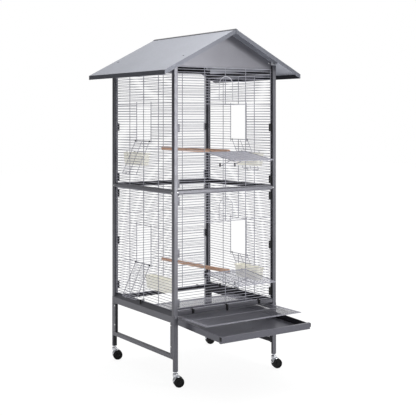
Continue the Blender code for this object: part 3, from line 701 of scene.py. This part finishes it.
# ---------------------------------------------------------------------------------------- casters
# Twin wheels, a turned neck, and a hood bent over the wheels with a web between them
HOOD_STEPS = 18
HOOD_FROM, HOOD_SWEEP = 80, 92  # degrees round the axle
WEB_OUTER, WEB_INNER = 0.0235, 0.0075
for place in ("front_left", "back_left", "front_right", "back_right"):
    swivel = JOINTS[f"caster_swivel_{place}"]
    spin = JOINTS[f"wheel_spin_{place}"]
    hub, axle = Vector(spin["pos_m"]), Vector(spin["axis"])
    stem = Vector(swivel["pos_m"])
    trail = (hub - stem).xy.length
    heading = math.atan2(hub.y - stem.y, hub.x - stem.x)
    seat = Matrix.Translation((stem.x, stem.y, 0.0)) @ Matrix.Rotation(heading, 4, "Z")
    radius, inner, outer = 0.0220, 0.0035, 0.0160
    node = f"wheels_{place}"
    shape = Shape()
    for sign in (-1, 1):
        face = facing(hub, axle * sign)
        shape.turn([(0.0, inner), (radius - 0.0022, inner), (radius - 0.0004, inner + 0.0012),
                    (radius, inner + 0.0032), (radius, outer - 0.0040), (radius - 0.0006, outer - 0.0016),
                    (radius - 0.0026, outer - 0.0002), (radius - 0.0060, outer - 0.0004),
                    (radius - 0.0072, outer - 0.0022), (0.0085, outer - 0.0030), (0.0075, outer - 0.0012),
                    (0.0030, outer - 0.0006), (0.0, outer - 0.0004)], face, 40)
    shape.turn([(0.0, -inner - 0.001), (0.003, -inner - 0.001), (0.003, inner + 0.001), (0.0, inner + 0.001)],
               facing(hub, axle), 16)
    add(node + "_pair", shape.mesh(node), node, RUBBER, (node,))
    node = f"caster_{place}"
    neck = Shape()
    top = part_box(f"leg_{place}")[0].z
    neck.turn([(0.0, 0.0440), (0.0100, 0.0440), (0.0112, 0.0455), (0.0118, 0.0480), (0.0118, 0.0545),
               (0.0112, 0.0570), (0.0092, 0.0588), (0.0062, 0.0596), (0.0052, 0.0606), (0.0052, 0.0630),
               (0.0085, 0.0636), (0.0085, top - 0.0004), (0.0034, top - 0.0004), (0.0034, top + 0.030),
               (0.0, top + 0.030)], seat, 28)
    add(node + "_neck", neck.mesh(node), node, CHROME, (node,))
    hood = Shape()
    rings = []
    for i in range(HOOD_STEPS + 1):
        angle = math.radians(HOOD_FROM + HOOD_SWEEP * i / HOOD_STEPS)
        ends = min(1.0, 0.45 + 0.55 * math.sin(math.pi * i / HOOD_STEPS) ** 0.35)
        section = []
        wide = (outer + 0.0004) * ends
        for offset, rise in ((-1.0, 0.0012), (-0.96, 0.0030), (-0.6, 0.0040), (0.0, 0.0044), (0.6, 0.0040),
                             (0.96, 0.0030), (1.0, 0.0012), (0.9, 0.0008), (0.0, 0.0012), (-0.9, 0.0008)):
            reach = radius + rise
            section.append((trail + reach * math.cos(angle), wide * offset, hub.z + reach * math.sin(angle)))
        rings.append(section)
    hood.loft(rings, seat)
    web = [(trail + WEB_OUTER * math.cos(math.radians(a)), hub.z + WEB_OUTER * math.sin(math.radians(a)))
           for a in range(84, 174, 9)]
    web += [(trail + WEB_INNER * math.cos(math.radians(a)), hub.z + WEB_INNER * math.sin(math.radians(a)))
            for a in range(230, 411, 20)]
    upright = Matrix(((1, 0, 0, 0), (0, 0, -1, 0), (0, 1, 0, 0), (0, 0, 0, 1)))
    hood.outline(web, 0.0058, seat @ upright)
    add(node + "_hood", hood.mesh(node + "_hood"), node, CHROME)


# ---------------------------------------------------------------------------------------- fittings
def head(shape, spot, direction, radius=0.0036, high=0.0018):
    """Pan head with a small socket."""
    shape.turn([(0.0, high * 0.45), (radius * 0.34, high * 0.45), (radius * 0.42, high),
                (radius * 0.72, high), (radius * 0.96, high * 0.5), (radius, 0.0), (radius * 0.5, -0.0006),
                (0.0, -0.0006)], facing(spot, direction), 18)


# Places of the bolts, each mirrored to the other corners, and of the roof's screws
RAIL_BOLT_SIDE, RAIL_BOLT_FRONT = 0.2560, 0.2550
GABLE_BOLT_X, GABLE_BOLT_Z = 0.2400, 1.3800
STAND_BOLT_HEIGHTS = (0.2563, 0.1675)
SCREW_X, SCREW_Y = 0.234, 0.285
bolts = Shape()
rail_z = (MID_LOW + MID_HIGH) / 2
for sx in (-1, 1):
    for sy in (-1, 1):
        head(bolts, world(sx * HALF, sy * RAIL_BOLT_SIDE, rail_z - 0.001), (sx, 0, 0))
        head(bolts, world(sx * RAIL_BOLT_FRONT, sy * HALF, rail_z), (0, sy, 0))
        head(bolts, world(sx * GABLE_BOLT_X, sy * (AXIS - 0.0010), GABLE_BOLT_Z), (0, sy, 0), 0.0032)
add("frame_bolts", bolts.mesh("frame_bolts"), "cage", ZINC)

bolts = Shape()
for sx in (-1, 1):
    for sy in (-1, 1):
        for z in STAND_BOLT_HEIGHTS:
            head(bolts, world(sx * HALF, sy * (INNER - 0.0055), z), (sx, 0, 0), 0.0034)
add("stand_bolts", bolts.mesh("stand_bolts"), "cage", ZINC)

screws = Shape()
for side in (-1, 1):
    for sy in (-1, 1):
        x = side * SCREW_X
        normal = Vector((side * SLOPE, 0.0, 1.0)).normalized()
        head(screws, world(x, sy * SCREW_Y, RIDGE - SLOPE * abs(x)), normal, 0.0040, 0.0014)
add("roof_screws", screws.mesh("roof_screws"), "cage", RIM)

# Ribbed brackets that hold the front and back panels to the posts. Those on the right posts are black plastic
# as painted shade; those on the left take the grey coat
BRACKET_HEIGHTS = (1.090, 0.8550, 0.7810, 0.5600, 0.3500)
BRACKET_HALF = 0.0175
RIB_STEP, RIB_HALF = 0.0105, 0.0022
lit, shaded = Shape(), Shape()
for sx in (-1, 1):
    for sy in (-1, 1):
        shape = lit if sx < 0 else shaded
        x0, x1 = sorted((sx * (INNER + 0.0008), sx * (INNER - 0.0120)))
        y0, y1 = sorted((sy * (AXIS - 0.0036), sy * (AXIS + 0.0040)))
        rib_y0, rib_y1 = sorted((sy * (AXIS - 0.0052), sy * (AXIS + 0.0054)))
        for z in BRACKET_HEIGHTS:
            shape.box(world(x0, y0, z - BRACKET_HALF), world(x1, y1, z + BRACKET_HALF), 0.0006)
            for rise in (-RIB_STEP, 0.0, RIB_STEP):
                shape.box(world(x0 + 0.001, rib_y0, z + rise - RIB_HALF),
                          world(x1 - 0.001, rib_y1, z + rise + RIB_HALF), 0.0005)
# Painted shade: the right brackets are drawn black, the left ones grey
add("panel_brackets_left", lit.mesh("brackets"), "cage", GREY)
add("panel_brackets_right", shaded.mesh("brackets"), "cage", BLACK)

# Black clips that hold the walls down on the base
CLIP_HALF = 0.0042
clips = Shape()


def clip(wall, along, top, faces, drop=0.014):
    """A hooked clip over the top of a base rail, between its inner and outer faces."""
    nx, ny = NORMALS[wall]
    across = Vector((abs(ny), abs(nx), 0.0)) * CLIP_HALF
    inner, outer = faces
    for low_out, high_out, low_z, high_z in ((outer + 0.0002, outer + 0.0050, -drop, 0.0040),
                                             (inner - 0.0046, outer + 0.0040, 0.0004, 0.0038),
                                             (inner - 0.0050, inner - 0.0002, -0.0090, 0.0040)):
        low = on_wall(wall, along, top + low_z, low_out)
        high = on_wall(wall, along, top + high_z, high_out)
        places = list(zip(*(spot + sign * across for spot in (low, high) for sign in (-1, 1))))
        clips.box([min(place) for place in places], [max(place) for place in places], 0.0010)


back_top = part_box("base_rail_back")[1].z
for x, drop in ((-0.177, 0.014), (0.0, 0.024), (0.176, 0.014)):
    clip("front", x, BASE_TOP, (-0.0040, 0.0100), drop)
for x in (-0.205, 0.205):
    clip("back", x, back_top, (-0.0040, 0.0100))
for side in ("left", "right"):
    clip(side, 0.019, BASE_TOP, (-0.0100, 0.0020), 0.020)
add("base_clips", clips.mesh("base_clips"), "cage", BLACK)

# Plates that close the ends of the hollow side rails
ends = Shape()
low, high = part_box("base_rail_left")
for sx in (-1, 1):
    x0, x1 = sorted((sx * (HALF - 0.0010), sx * (INNER + 0.0010)))
    for sy in (-1, 1):
        y0, y1 = sorted((sy * (HALF - 0.0003), sy * (HALF - 0.0019)))
        ends.box(world(x0, y0, low.z + 0.0010), world(x1, y1, low.z + 0.0285), 0.0002)
add("rail_ends", ends.mesh("rail_ends"), "cage", STAND)

# Small corner plates under the ends of the middle rails
plates = Shape()
corner = [(0.0, 0.0), (0.013, 0.0), (0.0, -0.013)]
outward = AXIS + 0.004
for sx in (-1, 1):
    for sy in (-1, 1):
        side_on = Matrix(((0, 0, 1, 0), (-sy, 0, 0, 0), (0, 1, 0, 0), (0, 0, 0, 1)))
        front_on = Matrix(((-sx, 0, 0, 0), (0, 0, -1, 0), (0, 1, 0, 0), (0, 0, 0, 1)))
        for x, y, turned in ((sx * outward, sy * INNER, side_on), (sx * INNER, sy * outward, front_on)):
            plates.outline(corner, 0.0016, Matrix.Translation(world(x, y, MID_LOW)) @ turned)
add("corner_plates", plates.mesh("corner_plates"), "cage", RIM)

# ---------------------------------------------------------------------------------------- frame nodes
FINISHES = {"roof": ROOF, "ridge": RIM, "tray": TRAY_WITH_PAINTED_SHADE, "leg": STAND, "stand": STAND, "base": STAND,
            "post": POST, "mid": GREY, "top": GREY, "gable": GABLE}
for name, node in frame["nodes"].items():
    finish = FINISHES.get(name.split("_")[0])
    if finish is None or node.hide_render:
        continue
    node.data.materials.clear()
    node.data.materials.append(finish)
    weld = node.modifiers.new("weld", "WELD")
    weld.merge_threshold = 0.00001
    soft = node.modifiers.new("edges", "BEVEL")
    soft.width = 0.0003 if name.startswith(("roof", "ridge", "gable", "tray")) else 0.0009
    soft.segments = 2
    soft.limit_method = "ANGLE"
    soft.angle_limit = math.radians(40)
    soft.use_clamp_overlap = True
    flat = node.modifiers.new("normals", "WEIGHTED_NORMAL")
    flat.weight = 100
    flat.keep_sharp = True

# ---------------------------------------------------------------------------------------- studio
ground = Shape()
ground.box((-14.0, -14.0, -0.02), (14.0, 14.0, -0.0002), 0.001)
mesh = ground.mesh("studio_floor")
floor = bpy.data.objects.new("studio_floor", mesh)
scene.collection.objects.link(floor)
sweep = Finish("pale_floor", 0.0, 0.9, {"Emission Strength": 0.8})
spread = sweep.where((0.22, 0.22, 0.22))
reach = sweep.node("TexGradient", {"gradient_type": "SPHERICAL"}, {"Vector": spread}).outputs[0]
sweep.set("Emission Color", sweep.ramp(reach, (0.15, grey(0.14)), (0.75, grey(0.34))))
sweep.set("Base Color", sweep.ramp(sweep.noise(0.8, 2.0), (0.3, srgb(250, 250, 251)),
                                   (0.7, srgb(253, 253, 254))))
# Seen straight on it is as white as the backdrop, with faint contact shadows
glow = sweep.node("Emission", inputs={"Color": ON, "Strength": 0.90}).outputs[0]
matt = sweep.node("BsdfDiffuse", inputs={"Color": grey(0.14)}).outputs[0]
seen = sweep.node("AddShader", inputs={0: glow, 1: matt}).outputs[0]
direct = sweep.node("LightPath").outputs["Is Camera Ray"]
blend = sweep.node("MixShader", inputs={0: direct, 1: sweep.shader.outputs[0], 2: seen}).outputs[0]
sweep.tree.links.new(blend, sweep.tree.nodes["Material Output"].inputs["Surface"])
mesh.materials.append(sweep.material)

sky = bpy.data.worlds.new("studio")
scene.world = sky
sky.use_nodes = True
# The backdrop is white; the room around it is bright overhead and dim along the walls
tree = sky.node_tree
backdrop = tree.nodes["Background"]
backdrop.inputs["Color"].default_value = ON
room = tree.nodes.new("ShaderNodeBackground")
toward = tree.nodes.new("ShaderNodeVectorMath")
toward.operation = "DOT_PRODUCT"
toward.inputs[1].default_value = Vector((0.30, 0.12, 0.94)).normalized()
tree.links.new(tree.nodes.new("ShaderNodeTexCoord").outputs["Generated"], toward.inputs[0])
fade = tree.nodes.new("ShaderNodeMapRange")
fade.interpolation_type = "SMOOTHSTEP"
for socket, value in (("From Min", -0.10), ("From Max", 0.95), ("To Min", 0.02), ("To Max", 1.28)):
    fade.inputs[socket].default_value = value
tree.links.new(toward.outputs["Value"], fade.inputs["Value"])
tree.links.new(fade.outputs["Result"], room.inputs["Strength"])
switch = tree.nodes.new("ShaderNodeMixShader")
tree.links.new(tree.nodes.new("ShaderNodeLightPath").outputs["Is Camera Ray"], switch.inputs[0])
tree.links.new(room.outputs[0], switch.inputs[1])
tree.links.new(backdrop.outputs[0], switch.inputs[2])
tree.links.new(switch.outputs[0], tree.nodes["World Output"].inputs["Surface"])


def lamp(name, spot, aim, size, power):
    light = bpy.data.lights.new(name, "AREA")
    light.shape = "RECTANGLE"
    light.size, light.size_y = size
    light.energy = power
    made = bpy.data.objects.new(name, light)
    scene.collection.objects.link(made)
    made.location = spot
    made.rotation_euler = (Vector(aim) - Vector(spot)).to_track_quat("-Z", "Y").to_euler()


lamp("key", (1.38, -3.05, 1.15), (-0.1, 0.0, 1.0), (0.85, 1.35), 38)
lamp("top", (0.3, 0.6, 3.4), (0.0, 0.1, 1.2), (2.2, 2.2), 45)

eye = bpy.data.cameras.new("camera")
camera = bpy.data.objects.new("camera", eye)
scene.collection.objects.link(camera)
camera.location = world(-2.3105, -3.5221, 1.1362)
camera.rotation_euler = (math.radians(90.0), 0.0, -0.5973)
eye.sensor_width = 36.0
eye.lens = 79.0
eye.shift_y = -0.2183
scene.camera = camera
scene.view_settings.view_transform = "Standard"
scene.view_settings.look = "None"
